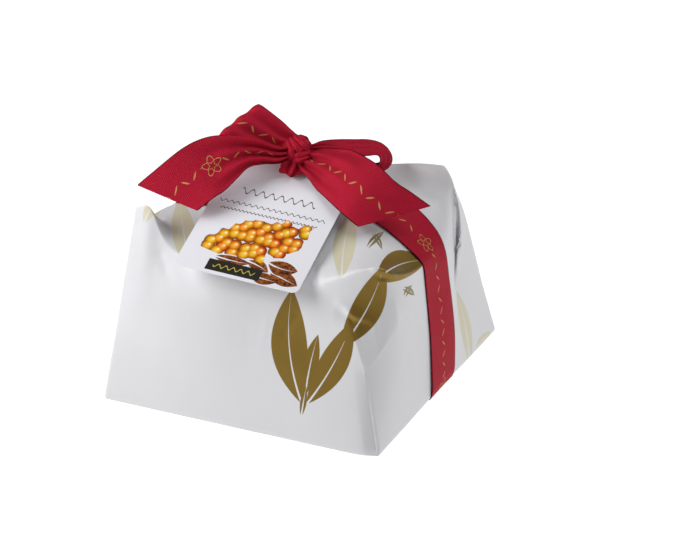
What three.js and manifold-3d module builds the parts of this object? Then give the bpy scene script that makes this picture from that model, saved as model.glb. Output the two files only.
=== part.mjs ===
// A gift-wrapped panettone: the loaf in its paper mould and tied film bag,
// wrapped in one sheet of paper that a ribbon with a bow and a tag holds shut.
// Millimetres, +Z up, origin on the surface it stands on, under the middle of its base.
// +X is the end that the ribbon runs down, -Y is the front, with the tag.

import * as THREE from 'three';
import { mergeVertices } from 'three/addons/utils/BufferGeometryUtils.js';
import Module from 'manifold-3d';

const wasm = await Module();
wasm.setup();

// ---------------------------------------------------------------- driving dimensions

const GAP = 0.3;                 // between pieces that touch

const BASE_WIDTH = 230;          // wrapped base, along X
const BASE_DEPTH = 245;          // wrapped base, along Y
const END_LEAN = 0.066;          // how far an end leans in for each millimetre of height
const SIDE_LEAN = 0.32;          // the same for the front and the back
const PAPER = 1.2;               // the wrapping sheet with its folded layers
const PAPER_FLOOR = 2.1;         // the layers folded together under the base

const RIBBON_WIDTH = 45;
const RIBBON_MIDDLE = 3;         // the ribbon runs round the parcel a little behind its middle
const RIBBON = 0.9;              // thickness that stands for the woven ribbon
const GROOVE = RIBBON + GAP;     // the ribbon presses this far into the soft base

const LOAF_RADIUS = 94;
const LOAF_SHOULDER = 70;        // height where the dome begins
const LOAF_TOP = 134;
const MOULD_HEIGHT = 66;
const MOULD_PAPER = 0.8;
const FILM = 0.7;

const SEAM_LENGTH = 120;         // the open seam where the sheet's edges lap under the base
const SEAM_WIDTH = 2;
const SEAM_Y = 62;

const KNOT = new THREE.Vector3(-6, -2, 185);
const KNOT_RADII = new THREE.Vector3(11, 9.5, 10.5);
const KNOT_FOOT_Y = 8;           // the knot's foot stands behind the tag's top edge
const KNOT_FOOT_RADII = [5.5, 6.5];      // at its top and its bottom

const TAG_WIDTH = 101;
const TAG_LENGTH = 117;
const TAG_CARD = 0.8;
const TAG_CORNER = 5;
const TAG_HOLE = 2.6;            // radius
const TAG_HOLE_INSET = 9;        // from the tag's top edge to the middle of its hole
const TAG_HANG = new THREE.Vector3(-7, -9, 162.5);      // middle of the hole
const TAG_SLOPE = THREE.MathUtils.degToRad(26.5);       // from level, down to the front
const TAG_TWIST = THREE.MathUtils.degToRad(-4.2);       // its right side hangs lower

// ---------------------------------------------------------------- finishes

const finish = (color, roughness, more = {}) =>
  new THREE.MeshStandardMaterial({ color, roughness, metalness: 0, ...more });

const CRUST = finish(0x8a4b1e, 0.75);
const MOULD_FINISH = finish(0x7a5a3a, 0.85);
const CLEAR_FILM = finish(0xf2f4f4, 0.15, { transparent: true, opacity: 0.35 });
const TIE_FINISH = finish(0xc9a13b, 0.4);
const WRAPPING_PAPER = finish(0xf1f1f2, 0.5);
const RED_RIBBON = finish(0xa5162c, 0.6);
const TAG_FINISH = finish(0xf6f5f3, 0.55);

// ---------------------------------------------------------------- helpers

const v = (x, y, z) => new THREE.Vector3(x, y, z);

function solid(geometry) {
  const bare = geometry.clone();
  for (const name of ['normal', 'uv']) bare.deleteAttribute(name);
  const merged = mergeVertices(bare, 1e-4);
  return new wasm.Manifold(new wasm.Mesh({
    numProp: 3,
    vertProperties: new Float32Array(merged.attributes.position.array),
    triVerts: new Uint32Array(merged.index.array),
  }));
}

function geometryOf(manifold) {
  const mesh = manifold.getMesh();
  const geometry = new THREE.BufferGeometry();
  geometry.setAttribute('position', new THREE.BufferAttribute(mesh.vertProperties, 3));
  geometry.setIndex(new THREE.BufferAttribute(mesh.triVerts, 1));
  geometry.computeVertexNormals();
  return geometry;
}

function named(name, geometry, material) {
  const mesh = new THREE.Mesh(geometry, material);
  mesh.name = name;
  return mesh;
}

// A closed mesh from a list of points and a list of faces, each face a loop of indices
// that runs anticlockwise seen from outside.
function closedMesh(points, faces) {
  const geometry = new THREE.BufferGeometry();
  geometry.setAttribute('position', new THREE.Float32BufferAttribute(points.flatMap((p) => p.toArray()), 3));
  geometry.setIndex(faces.flatMap((f) => f.slice(2).flatMap((_, i) => [f[0], f[i + 1], f[i + 2]])));
  geometry.computeVertexNormals();
  return geometry;
}

// A turned shape. LatheGeometry turns about Y, so the result is stood up to turn about Z.
// The profile is a list of [radius, height] and keeps the solid on its left.
function turned(profile, segments = 48) {
  const points = profile.map(([r, z]) => new THREE.Vector2(r, z));
  return new THREE.LatheGeometry(points, segments).rotateX(Math.PI / 2);
}

// ---------------------------------------------------------------- loaf, mould and bag

const MOULD_FLOOR = PAPER_FLOOR + GAP + FILM + GAP;
const LOAF_FLOOR = MOULD_FLOOR + MOULD_PAPER + GAP;
const DOME = LOAF_TOP - LOAF_SHOULDER;

// The dome's radius at a height above the shoulder, with a margin around it.
const domeRing = (lift, margin) => {
  const reach = LOAF_RADIUS + margin;
  const rise = DOME + margin;
  return [reach * Math.cos(lift), LOAF_SHOULDER + rise * Math.sin(lift)];
};
const LIFTS = [0, 12, 24, 36, 48, 60, 72, 82].map(THREE.MathUtils.degToRad);

function loaf() {
  const inset = 4;               // the baked foot is rounded where it fills the mould
  return turned([
    [0, LOAF_FLOOR],
    [LOAF_RADIUS - inset, LOAF_FLOOR],
    [LOAF_RADIUS, LOAF_FLOOR + inset],
    ...LIFTS.map((lift) => domeRing(lift, 0)),
    [0, LOAF_TOP],
  ]);
}

const MOULD_INNER = LOAF_RADIUS + GAP;
const MOULD_OUTER = MOULD_INNER + MOULD_PAPER;

const mouldWall = () => turned([
  [MOULD_INNER, MOULD_FLOOR],
  [MOULD_OUTER, MOULD_FLOOR],
  [MOULD_OUTER, MOULD_HEIGHT],
  [MOULD_INNER, MOULD_HEIGHT],
  [MOULD_INNER, MOULD_FLOOR],
]);

const mouldBase = () => turned([
  [0, MOULD_FLOOR],
  [MOULD_INNER - GAP, MOULD_FLOOR],
  [MOULD_INNER - GAP, MOULD_FLOOR + MOULD_PAPER],
  [0, MOULD_FLOOR + MOULD_PAPER],
]);

const NECK_RADIUS = 4.5;
const NECK_TIE = 142;            // height of the tie round the gathered neck
const NECK_FOOT = LOAF_TOP + 4;  // the film is gathered in by here
const NECK_OPEN = NECK_TIE + 2;  // and opens again from here
const NECK_TOP = 150;
const NECK_FLARE = 8;

// One wall of the bag, from the middle of its base to the rim of the gathered neck.
const bagWall = (margin, floor) => [
  [0, floor],
  [MOULD_OUTER + margin, floor],
  ...LIFTS.slice(0, -1).map((lift) => domeRing(lift, MOULD_OUTER - LOAF_RADIUS + margin)),
  [NECK_RADIUS + margin, NECK_FOOT + margin],
  [NECK_RADIUS + margin, NECK_OPEN],
  [NECK_FLARE + margin, NECK_TOP],
];

function innerBag() {
  const inside = bagWall(GAP, MOULD_FLOOR - GAP);
  const outside = bagWall(GAP + FILM, MOULD_FLOOR - GAP - FILM);
  return turned([...outside, ...inside.reverse()], 40);
}

function bagTie() {
  const wire = 1.2;
  const facets = 0.1;            // the ring's flat facets cut in by less than this
  const radius = NECK_RADIUS + FILM + 2 * GAP + wire + facets;
  return new THREE.TorusGeometry(radius, wire, 8, 32).translate(0, 0, NECK_TIE);
}

// ---------------------------------------------------------------- wrapping sheet

// Heights of the folded top. Each row runs across from the left end to the right end,
// and the rows run from the front edge to the back edge. COLUMNS are the inner columns.
const COLUMNS = [-70, -38, -15, 7, 36, 68];
const STRIP = [112, 127, 141, 154, 154, 149, 140, 112];
const STRIP_HALF = RIBBON_WIDTH / 2 + 1;
const TOP_ROWS = [
  { y: 'front', heights: [142, 128, 115, 117, 117, 115, 123, 133] },
  { y: -52, heights: [120, 127, 131, 134, 134, 131, 125, 117] },
  { y: RIBBON_MIDDLE - STRIP_HALF, heights: STRIP },
  { y: RIBBON_MIDDLE + STRIP_HALF, heights: STRIP },
  { y: 48, heights: [124, 134, 142, 146, 147, 147, 145, 142] },
  { y: 'back', heights: [148, 147, 147, 148, 150, 155, 161, 164] },
];

// The wrapped outline as one closed body, drawn in by inset on every side but the floor.
function wrapperBody(inset, floor) {
  const points = [];
  const across = COLUMNS.length + 2;
  const down = TOP_ROWS.length;
  const endAt = (z) => BASE_WIDTH / 2 - END_LEAN * z - inset;
  const sideAt = (z) => BASE_DEPTH / 2 - SIDE_LEAN * z - inset;
  const place = (row, column, z) => {
    const x = column === 0 ? -endAt(z) : column === across - 1 ? endAt(z) : COLUMNS[column - 1];
    const { y } = TOP_ROWS[row];
    return v(x, y === 'front' ? -sideAt(z) : y === 'back' ? sideAt(z) : y, z);
  };
  for (const level of ['top', 'floor']) {
    for (let row = 0; row < down; row += 1) {
      for (let column = 0; column < across; column += 1) {
        const z = level === 'top' ? TOP_ROWS[row].heights[column] - inset : floor;
        points.push(place(row, column, z));
      }
    }
  }
  const top = (row, column) => row * across + column;
  const foot = (row, column) => down * across + row * across + column;
  const faces = [];
  for (let row = 0; row < down - 1; row += 1) {
    for (let column = 0; column < across - 1; column += 1) {
      const [next, under] = [column + 1, row + 1];
      faces.push([top(row, column), top(row, next), top(under, next), top(under, column)]);
      faces.push([foot(row, column), foot(under, column), foot(under, next), foot(row, next)]);
    }
    const last = across - 1;
    faces.push([foot(row, last), foot(row + 1, last), top(row + 1, last), top(row, last)]);
    faces.push([foot(row + 1, 0), foot(row, 0), top(row, 0), top(row + 1, 0)]);
  }
  for (let column = 0; column < across - 1; column += 1) {
    const last = down - 1;
    faces.push([foot(0, column), foot(0, column + 1), top(0, column + 1), top(0, column)]);
    faces.push([foot(last, column + 1), foot(last, column), top(last, column), top(last, column + 1)]);
  }
  return closedMesh(points, faces);
}

function wrapper() {
  const sheet = solid(wrapperBody(0, 0)).subtract(solid(wrapperBody(PAPER, PAPER_FLOOR)));
  const groove = new THREE.BoxGeometry(2 * BASE_WIDTH, RIBBON_WIDTH + 2 * GAP, 2 * GROOVE)
    .translate(0, RIBBON_MIDDLE, 0);
  const seam = new THREE.BoxGeometry(SEAM_LENGTH, SEAM_WIDTH, 3 * PAPER_FLOOR).translate(0, SEAM_Y, 0);
  return geometryOf(sheet.subtract(solid(groove)).subtract(solid(seam)));
}

// ---------------------------------------------------------------- ribbon round the parcel

// The wrapper's outline in the strip under the ribbon, anticlockwise seen from the front.
function stripOutline() {
  const endAt = (z) => BASE_WIDTH / 2 - END_LEAN * z;
  const xs = [-endAt(STRIP[0]), ...COLUMNS, endAt(STRIP.at(-1))];
  const crest = xs.map((x, i) => [x, STRIP[i]]).reverse();
  return [[-endAt(GROOVE), GROOVE], [endAt(GROOVE), GROOVE], ...crest];
}

// A closed outline moved outward by a distance, corner by corner.
function offsetOutline(outline, distance) {
  const count = outline.length;
  const edgeNormal = (i) => {
    const [ax, az] = outline[i % count];
    const [bx, bz] = outline[(i + 1) % count];
    return new THREE.Vector2(bz - az, ax - bx).normalize();
  };
  return outline.map(([x, z], i) => {
    const before = edgeNormal(i + count - 1);
    const after = edgeNormal(i);
    const reach = distance / (1 + before.dot(after));
    return new THREE.Vector2(x + (before.x + after.x) * reach, z + (before.y + after.y) * reach);
  });
}

function ribbonBand() {
  const shape = new THREE.Shape(offsetOutline(stripOutline(), GROOVE));
  shape.holes.push(new THREE.Path(offsetOutline(stripOutline(), GAP)));
  const band = new THREE.ExtrudeGeometry(shape, { depth: RIBBON_WIDTH, bevelEnabled: false });
  return band.rotateX(Math.PI / 2).translate(0, RIBBON_MIDDLE + RIBBON_WIDTH / 2, 0);
}

// ---------------------------------------------------------------- bow

// A flat strip through stations. Each has its middle, the direction across the ribbon, and its
// width as a share of the full width: less where it is gathered, more across a slanted cut.
function strip(stations) {
  const middles = stations.map(([at]) => v(...at));
  const points = stations.flatMap(([, direction, share], i) => {
    const ahead = middles[Math.min(i + 1, middles.length - 1)];
    const along = ahead.clone().sub(middles[Math.max(i - 1, 0)]);
    const across = v(...direction).setLength(RIBBON_WIDTH / 2 * share);
    const lift = along.cross(across).setLength(RIBBON / 2);
    return [[-1, -1], [1, -1], [1, 1], [-1, 1]].map(([side, face]) =>
      middles[i].clone().addScaledVector(across, side).addScaledVector(lift, face));
  });
  const faces = [[3, 2, 1, 0]];
  for (let i = 0; i < stations.length - 1; i += 1) {
    for (let k = 0; k < 4; k += 1) {
      const a = 4 * i + k;
      const b = 4 * i + ((k + 1) % 4);
      // both faces are cut along the same diagonal, so that a twisted strip keeps its thickness
      faces.push(k === 2 ? [b, b + 4, a + 4, a] : [a, b, b + 4, a + 4]);
    }
  }
  const end = 4 * (stations.length - 1);
  faces.push([end, end + 1, end + 2, end + 3]);
  return closedMesh(points, faces);
}

const KNOT_FOOT = Math.max(...STRIP) + GROOVE + GAP;      // where the knot sits on the band

// The knot and the gathered foot under it, drawn out by a margin.
function knotLump(margin) {
  const radii = KNOT_RADII.clone().addScalar(margin);
  const lump = new THREE.SphereGeometry(1, 20, 14).scale(...radii.toArray()).translate(...KNOT.toArray());
  const [upper, lower] = KNOT_FOOT_RADII.map((radius) => radius + margin);
  const foot = new THREE.CylinderGeometry(upper, lower, KNOT.z - KNOT_FOOT, 16)
    .rotateX(Math.PI / 2).translate(KNOT.x, KNOT_FOOT_Y, (KNOT.z + KNOT_FOOT) / 2);
  return solid(lump).add(solid(foot));
}

// The knot with the turn of ribbon that drops from it through the tag's hole.
function bowKnot() {
  const turnRadius = TAG_HOLE - 1;
  const turnFoot = TAG_HANG.z - 3;
  const turn = new THREE.CylinderGeometry(turnRadius, turnRadius, KNOT.z - turnFoot, 10)
    .rotateX(Math.PI / 2).translate(TAG_HANG.x, TAG_HANG.y, (KNOT.z + turnFoot) / 2);
  return geometryOf(knotLump(0).add(solid(turn)));
}

// A strip of the bow that starts inside the knot and is cut off just clear of it.
const bowStrip = (stations) => geometryOf(solid(strip(stations)).subtract(knotLump(GAP)));

const LOOP_LEFT = [
  [[-9, -2, 188], [3, 4, 5], 0.3],
  [[-20, -5, 191], [6, 8, 9], 0.6],
  [[-34, -9, 196], [10, 11, 13], 0.85],
  [[-49, -13, 201], [13, 12, 13], 1],
  [[-55, -9, 199], [13, 12, 13], 1],
  [[-54, -2, 194], [13, 12, 13], 1],
  [[-40, 6, 189], [10, 11, 12], 0.85],
  [[-22, 7, 185], [5, 7, 8], 0.6],
  [[-9, 3, 182], [2, 3, 4], 0.3],
];

const LOOP_RIGHT = [
  [[-2, 1, 183], [-1, 4, 3], 0.25],
  [[12, 9, 182], [-4, 9, 3], 0.45],
  [[30, 24, 179], [-9, 17, 1], 0.85],
  [[42, 32, 180], [-10, 18, -1], 0.95],
  [[50, 36, 177], [-10, 17, -5], 0.9],
  [[52, 35, 169], [-9, 16, -4], 0.85],
  [[40, 26, 164], [-8, 17, -1], 0.85],
  [[25, 17, 168], [-7, 14, 1], 0.6],
  [[8, 5, 175], [-3, 4, 1], 0.25],
];

const TAIL_LEFT = [
  [[-12, -7, 183], [-1, 2, 5], 0.2],
  [[-22, -17, 186], [-2, 3, 8], 0.45],
  [[-36, -32, 185], [-6, 4, 13], 0.75],
  [[-52, -47, 179], [-11, 5, 18], 1],
  [[-64, -59, 171], [-14, 5, 17], 1],
  [[-82, -72, 157], [-20, 2, 10], 1],
];

const TAIL_RIGHT = [
  [[-2, -6, 180], [3, 4, 5], 0.3],
  [[8, -6, 176], [3, 7, 8], 0.5],
  [[21, -7, 173], [6, 11, 13], 0.75],
  [[32, -9, 170], [7, 13, 14], 0.9],
  [[55, -22, 166], [8, 15, 15], 1],
  [[70, -25, 158], [8, 15, 14], 1],
  [[84, -20, 148], [42, 40, 9], 1.3],
];

// ---------------------------------------------------------------- tag

function tag() {
  const [w, l, r] = [TAG_WIDTH / 2, TAG_LENGTH, TAG_CORNER];
  const top = TAG_HOLE_INSET;
  const card = new THREE.Shape();
  card.moveTo(-w + r, top - l);
  card.lineTo(w - r, top - l);
  card.absarc(w - r, top - l + r, r, -Math.PI / 2, 0, false);
  card.lineTo(w, top - r);
  card.absarc(w - r, top - r, r, 0, Math.PI / 2, false);
  card.lineTo(-w + r, top);
  card.absarc(-w + r, top - r, r, Math.PI / 2, Math.PI, false);
  card.lineTo(-w, top - l + r);
  card.absarc(-w + r, top - l + r, r, Math.PI, Math.PI * 1.5, false);
  const hole = new THREE.Path();
  hole.absarc(0, 0, TAG_HOLE, 0, Math.PI * 2, true);
  card.holes.push(hole);
  return new THREE.ExtrudeGeometry(card, { depth: TAG_CARD, bevelEnabled: false, curveSegments: 5 })
    .rotateY(-TAG_TWIST)
    .rotateX(TAG_SLOPE)
    .translate(...TAG_HANG.toArray());
}

// ---------------------------------------------------------------- the assembly

const panettone = new THREE.Group();
panettone.add(
  named('panettone_loaf', loaf(), CRUST),
  named('baking_mould_wall', mouldWall(), MOULD_FINISH),
  named('baking_mould_base', mouldBase(), MOULD_FINISH),
  named('inner_bag', innerBag(), CLEAR_FILM),
  named('bag_tie', bagTie(), TIE_FINISH),
  named('wrapper', wrapper(), WRAPPING_PAPER),
  named('ribbon_band', ribbonBand(), RED_RIBBON),
  named('bow_knot', bowKnot(), RED_RIBBON),
  named('bow_loop_left', bowStrip(LOOP_LEFT), RED_RIBBON),
  named('bow_loop_right', bowStrip(LOOP_RIGHT), RED_RIBBON),
  named('ribbon_tail_left', bowStrip(TAIL_LEFT), RED_RIBBON),
  named('ribbon_tail_right', bowStrip(TAIL_RIGHT), RED_RIBBON),
  named('tag', tag(), TAG_FINISH),
);

export default panettone;
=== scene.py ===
"""Gift-wrapped panettone: folded printed paper, a woven ribbon with its bow, and a printed tag.

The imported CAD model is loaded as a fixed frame. The wrapping sheet, the ribbon and the tag
are modelled here around it; the loaf, its mould and its bag keep their CAD shapes and get
their finishes. Shapes are written in millimetres and made in metres.
"""

import math

import bmesh
import bpy
import numpy as np
from mathutils import Euler, Matrix, Vector, noise
from mathutils.bvhtree import BVHTree


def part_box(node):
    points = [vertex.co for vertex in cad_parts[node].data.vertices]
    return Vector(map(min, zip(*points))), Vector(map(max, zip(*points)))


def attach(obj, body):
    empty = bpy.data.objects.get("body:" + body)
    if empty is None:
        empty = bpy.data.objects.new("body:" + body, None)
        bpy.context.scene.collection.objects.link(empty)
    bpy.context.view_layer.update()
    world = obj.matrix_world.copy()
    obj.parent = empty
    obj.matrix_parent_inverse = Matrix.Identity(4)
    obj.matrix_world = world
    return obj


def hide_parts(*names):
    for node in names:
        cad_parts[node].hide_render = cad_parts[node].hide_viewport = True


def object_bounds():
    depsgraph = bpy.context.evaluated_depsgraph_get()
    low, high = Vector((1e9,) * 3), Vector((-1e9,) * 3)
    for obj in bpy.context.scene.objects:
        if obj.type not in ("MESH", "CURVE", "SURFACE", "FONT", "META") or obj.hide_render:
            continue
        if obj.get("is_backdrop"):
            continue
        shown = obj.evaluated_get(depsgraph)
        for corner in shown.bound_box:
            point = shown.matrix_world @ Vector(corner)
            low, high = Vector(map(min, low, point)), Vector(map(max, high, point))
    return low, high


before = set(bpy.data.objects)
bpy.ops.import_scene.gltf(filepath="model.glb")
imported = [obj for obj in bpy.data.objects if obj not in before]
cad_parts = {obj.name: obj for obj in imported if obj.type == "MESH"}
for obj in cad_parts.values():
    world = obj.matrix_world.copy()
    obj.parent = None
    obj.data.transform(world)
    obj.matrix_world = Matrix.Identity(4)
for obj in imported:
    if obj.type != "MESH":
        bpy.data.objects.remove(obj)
CAD_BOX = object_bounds()

bl_info = {
    "name": "Wrapped Panettone",
    "version": (1, 0, 0),
    "blender": (4, 5, 0),
    "location": "View3D > Sidebar > Panettone",
    "description": "Builds a gift-wrapped panettone around its CAD frame",
    "category": "Add Mesh",
}

MM = 0.001
BODY = "root"


# ---------------------------------------------------------------- small tools

def linear(hex_colour):
    """An sRGB hex colour such as "A5162C" as linear red, green, blue and alpha."""
    parts = [int(hex_colour[i:i + 2], 16) / 255 for i in (0, 2, 4)]
    return [p / 12.92 if p <= 0.04045 else ((p + 0.055) / 1.055) ** 2.4 for p in parts] + [1.0]


def colour_property(name, description, hex_colour):
    return bpy.props.FloatVectorProperty(
        name=name, description=description, default=linear(hex_colour)[:3],
        subtype="COLOR", size=3, min=0, max=1)


def length_property(name, description, millimetres):
    return bpy.props.FloatProperty(
        name=name, description=description, default=millimetres * MM,
        min=0, unit="LENGTH", subtype="DISTANCE")


def power_property(name, description, watts):
    return bpy.props.FloatProperty(
        name=name, description=description, default=watts, min=0, unit="POWER")


def feed(tree, target, inputs):
    """Sets a node's sockets to values, or links them to the sockets that feed them.

    A socket goes by its name, or by its number where names repeat. Numbers 1 to 4 of a map range
    are its two limits before and after, and 6 and 7 of a mix are the colours at 0 and at 1.
    """
    for name, value in inputs.items():
        if isinstance(value, bpy.types.NodeSocket):
            tree.links.new(value, target.inputs[name])
        else:
            target.inputs[name].default_value = value


def node(tree, kind, inputs=None, **settings):
    """Adds a node with its settings, and feeds its sockets."""
    made = tree.nodes.new(kind)
    for name, value in settings.items():
        setattr(made, name, value)
    feed(tree, made, inputs or {})
    return made


def new_material(name):
    """A material with a Principled shader, and its tree."""
    material = bpy.data.materials.new(name)
    material.use_nodes = True
    tree = material.node_tree
    tree.nodes.clear()
    shader = node(tree, "ShaderNodeBsdfPrincipled")
    node(tree, "ShaderNodeOutputMaterial", {0: shader.outputs[0]})
    return material, tree, shader


def joined(tree, masks, operation="MAXIMUM"):
    """Several masks as one."""
    total = masks[0]
    for mask in masks[1:]:
        total = node(tree, "ShaderNodeMath", {0: total, 1: mask}, operation=operation).outputs[0]
    return total


def inked(tree, colour, inks):
    """The colour with inks laid over it, each (mask, colour)."""
    for mask, ink in inks:
        colour = node(tree, "ShaderNodeMix", {0: mask, 6: colour, 7: ink}, data_type="RGBA").outputs[2]
    return colour


def sine(tree, value, pitch):
    """A wave between -1 and 1 that repeats each time the value has gone on by the pitch."""
    turns = node(tree, "ShaderNodeMath", {0: value, 1: 2 * math.pi / pitch}, operation="MULTIPLY").outputs[0]
    return node(tree, "ShaderNodeMath", {0: turns}, operation="SINE").outputs[0]


def apart(tree, a, b):
    """How far two values are from each other."""
    off = node(tree, "ShaderNodeMath", {0: a, 1: b}, operation="SUBTRACT").outputs[0]
    return node(tree, "ShaderNodeMath", {0: off}, operation="ABSOLUTE").outputs[0]


def read(items, what, width=1, kind=float):
    """A property of every vertex, loop or face: one value each, or a row of width values."""
    values = np.zeros(len(items) * width, kind)
    items.foreach_get(what, values)
    return values if width == 1 else values.reshape(-1, width)


def add_object(name, data):
    """A new object in the scene."""
    made = bpy.data.objects.new(name, data)
    bpy.context.scene.collection.objects.link(made)
    return made


def ribbon_object(name, points, faces, uv):
    """An object from points in millimetres, and a pair of metres on the ribbon for each of them."""
    mesh = bpy.data.meshes.new(name)
    mesh.from_pydata([Vector(p) * MM for p in points], [], faces)
    layer = mesh.uv_layers.new(name="cloth")
    corners = read(mesh.loops, "vertex_index", kind=np.int32)
    layer.data.foreach_set("uv", np.asarray(uv, np.float32)[corners].ravel())
    mesh.update()
    return add_object(name, mesh)


def add_modifier(target, kind, **settings):
    modifier = target.modifiers.new(kind.title(), kind)
    for name, value in settings.items():
        setattr(modifier, name, value)


def apply_modifiers(target):
    """Bakes the object's modifiers into its mesh."""
    evaluated = target.evaluated_get(bpy.context.evaluated_depsgraph_get())
    mesh = bpy.data.meshes.new_from_object(evaluated)
    target.modifiers.clear()
    old = target.data
    target.data = mesh
    bpy.data.meshes.remove(old)


def finish_piece(piece, material, replaced, smooth=True):
    """Gives a piece its material and its place on the body."""
    piece.data.materials.clear()
    piece.data.materials.append(material)
    piece.data.polygons.foreach_set("material_index", [0] * len(piece.data.polygons))
    piece.data.polygons.foreach_set("use_smooth", [smooth] * len(piece.data.polygons))
    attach(piece, BODY)
    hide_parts(*replaced)


def grid_faces(rows, columns, closed=False):
    """Quads of a grid of rows x columns points. closed joins the last row to the first."""
    count = rows if closed else rows - 1
    return [
        (r * columns + c, r * columns + c + 1,
         (r + 1) % rows * columns + c + 1, (r + 1) % rows * columns + c)
        for r in range(count) for c in range(columns - 1)]


# ---------------------------------------------------------------- wrapping sheet: shape

# The sheet is a net of points on a box of columns (left to right), rows (front to back) and
# levels (floor to rim). It is subdivided, and its folds are creased edges of the net.
BASE_X = (-115, -95, -80, -62, -25, 15, 48, 84, 115)
BASE_Y = (-122.5, -95, -60, -21, 27, 48, 85, 122.5)
LEVEL_SHARES = (0, 0.28, 0.52, 0.76, 0.9, 1)
LAST_COLUMN = len(BASE_X) - 1
LAST_ROW = len(BASE_Y) - 1
RIM = len(LEVEL_SHARES) - 1
UNDERSIDE = 1.4           # the folded base is drawn up this far inside its rim

# How far the loaf pushes the front and the back out: the bulge's middle and half-width along X,
# and its depth at each level.
BULGES = {
    0: (-48, 62, (0, -4, -7, -6, -2, 0)),
    LAST_ROW: (0, 115, (0, 5, 11, 10, 4, 0)),
}

FRONT_RIM = (
    (-106, -77, 144.5), (-92, -75.6, 151.5), (-85.5, -80, 129), (-66, -86, 112), (-25, -85.5, 119),
    (15, -85.8, 118.5), (48, -87, 114), (72, -83, 125.5), (90, -79, 135.5))
BACK_RIM = (
    (-98, 66, 149), (-84, 63, 147), (-70, 62, 146), (-50, 62, 146), (-22, 62, 147),
    (15, 61, 150), (44, 60, 157), (70, 58, 163), (92.5, 55.5, 165))
LEFT_RIM = (
    (-106, -77, 144.5), (-105, -64, 129), (-105.5, -45, 131), (-105.5, -21, 127),
    (-105.5, 27, 123), (-105, 44, 126), (-103, 57, 135), (-98, 66, 149))
RIGHT_RIM = (
    (90, -79, 135.5), (104, -73, 126), (107.5, -46, 117), (106.5, -21, 112),
    (105, 27, 113), (98, 52, 145), (100.5, 53.5, 157.5), (92.5, 55.5, 165))

# Heights of the top between its rims, for the inner columns of each inner row.
TOP_X = (-92, -78, -62, -25, 10, 45, 74)
TOP_ROWS = (
    (-66, (130, 123, 122, 124, 124, 122, 127)),
    (-45, (131, 129, 127, 130, 132, 132, 130)),
    (-21, (128, 128, 132, 151.5, 155.5, 150, 139.5)),
    (27, (126, 128, 133, 151, 155, 152, 144.5)),
    (42, (128, 132, 137, 146, 149, 150, 149)),
    (55, (138, 139, 141, 146, 149, 153, 158)))

# Points that don't lie on a straight line up to the rim: the right end with its crushed front
# corner, the ribbon's bulge and the flap that stands proud at the back, and at both ends the foot
# that the ribbon passes under.
SHAPED = {
    (7, 0, 0): (103, -122.4, 0), (7, 0, 1): (97, -112.4, 32), (7, 0, 2): (87.5, -98.5, 80),
    (7, 0, 3): (78, -91.5, 97), (7, 0, 4): (74, -87, 112),
    (8, 0, 0): (115, -117.5, 0), (8, 0, 1): (104.6, -108, 32), (8, 0, 2): (97, -103.4, 60),
    (8, 0, 3): (104.5, -89, 71), (8, 0, 4): (97, -81, 108),
    (8, 1, 1): (112.5, -92, 31), (8, 1, 2): (112, -80, 56), (8, 1, 3): (109.5, -71.5, 87),
    (8, 1, 4): (106, -71, 109),
    (8, 2, 1): (113.5, -56, 31), (8, 2, 2): (112, -52, 58), (8, 2, 3): (110.5, -48, 86),
    (8, 2, 4): (109, -46, 102),
    (8, 3, 0): (114.6, -21, 1.2), (8, 3, 1): (113.8, -21, 30), (8, 3, 2): (112, -21, 60),
    (8, 3, 3): (109.5, -21, 80), (8, 3, 4): (107.8, -21, 98),
    (8, 4, 0): (115, 27, 1.2), (8, 4, 1): (116.3, 27, 30), (8, 4, 2): (115.2, 27, 60),
    (8, 4, 3): (111.5, 27, 82), (8, 4, 4): (108.5, 27, 99),
    (8, 5, 1): (113.5, 45, 35), (8, 5, 2): (107, 40, 72), (8, 5, 3): (101.5, 62, 103),
    (8, 5, 4): (100.5, 65, 123),
    (8, 6, 1): (114, 70, 35), (8, 6, 2): (109, 37, 72), (8, 6, 3): (106, 56.5, 104),
    (8, 6, 4): (104, 61.5, 124),
    (8, 7, 1): (111, 107, 37), (8, 7, 2): (107.7, 93.3, 72.7), (8, 7, 3): (105, 82, 102),
    (8, 7, 4): (101.8, 69.6, 132),
    (0, 3, 0): (-114.6, -21, 1.2), (0, 4, 0): (-114.6, 27, 1.2),
}

# Folds: a line of net points, each (column, row, level), and how sharp the paper is there.
FOLDS = (
    ([(0, 0, k) for k in range(6)], 0.8),
    ([(8, 0, k) for k in range(3)], 0.75),
    ([(7, 0, k) for k in range(2)], 0.35),
    ([(7, 0, 3), (7, 0, 2), (8, 0, 2), (8, 0, 3), (8, 1, 3)], 0.95),
    ([(8, 1, 3), (8, 1, 4)], 0.6),
    ([(8, 7, k) for k in range(5)], 0.75),
    ([(8, 7, 4), (8, 7, 5)], 0.5),
    ([(0, 7, k) for k in range(6)], 0.75),
    ([(i, 0, 0) for i in range(9)], 0.8),
    ([(i, 7, 0) for i in range(9)], 0.8),
    ([(0, j, 0) for j in range(8)], 0.8),
    ([(8, j, 0) for j in range(8)], 0.8),
    ([(i, 0, 5) for i in range(4)], 0.9),
    ([(i, 0, 5) for i in range(3, 6)], 0.5),
    ([(i, 0, 5) for i in range(5, 9)], 0.25),
    ([(i, 7, 5) for i in range(9)], 0.85),
    ([(0, j, 5) for j in range(8)], 0.6),
    ([(8, j, 5) for j in range(2)], 0.75),
    ([(8, j, 5) for j in range(1, 5)], 0.5),
    ([(8, 6, 5), (8, 7, 5)], 0.5),
    ([(8, 6, k) for k in range(2, 6)], 0.98),
    ([(8, 5, k) for k in range(2, 5)], 0.95),
    ([(7, 0, 3), (7, 0, 4)], 0.3),
)

# Net points where folds meet at a sharp tip.
TIPS = ((8, 1, 3), (7, 0, 3), (8, 0, 2), (8, 7, 5), (0, 0, 5))
TIP_SHARPNESS = 0.6

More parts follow.
